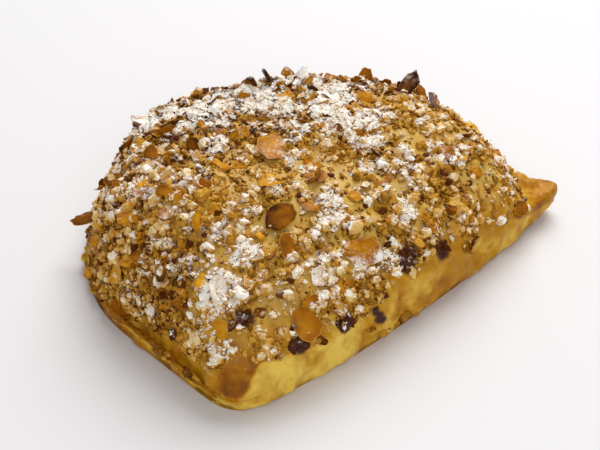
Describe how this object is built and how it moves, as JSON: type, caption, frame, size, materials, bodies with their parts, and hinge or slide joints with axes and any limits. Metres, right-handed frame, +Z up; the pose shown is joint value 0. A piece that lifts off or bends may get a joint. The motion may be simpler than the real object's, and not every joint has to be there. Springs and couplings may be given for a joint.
{
  "type": "puff pastry turnover",
  "caption": "Half-moon puff pastry turnover with a folded front, a sealed rim and a domed top under nut crumble and almond flakes.",
  "frame": {"origin": "middle of the pastry's outline, on the table it rests on", "axes": "+X along the fold towards the tip that curls up, +Y from the fold to the sealed rim, +Z up"},
  "size_m": [0.1446, 0.112, 0.0478],
  "materials": {
    "crust": "egg-washed and baked, golden yellow to brown, satin",
    "almond": "sliced almond, toasted amber with paler edges, satin",
    "crumble": "baked nut crumble, tan to brown, matt",
    "caramel": "burnt sugar and scorched flakes, dark brown, glossy in places",
    "sugar": "icing sugar, white, powdery"
  },
  "bodies": {
    "root": {"pastry": "crust"}
  },
  "joints": []
}
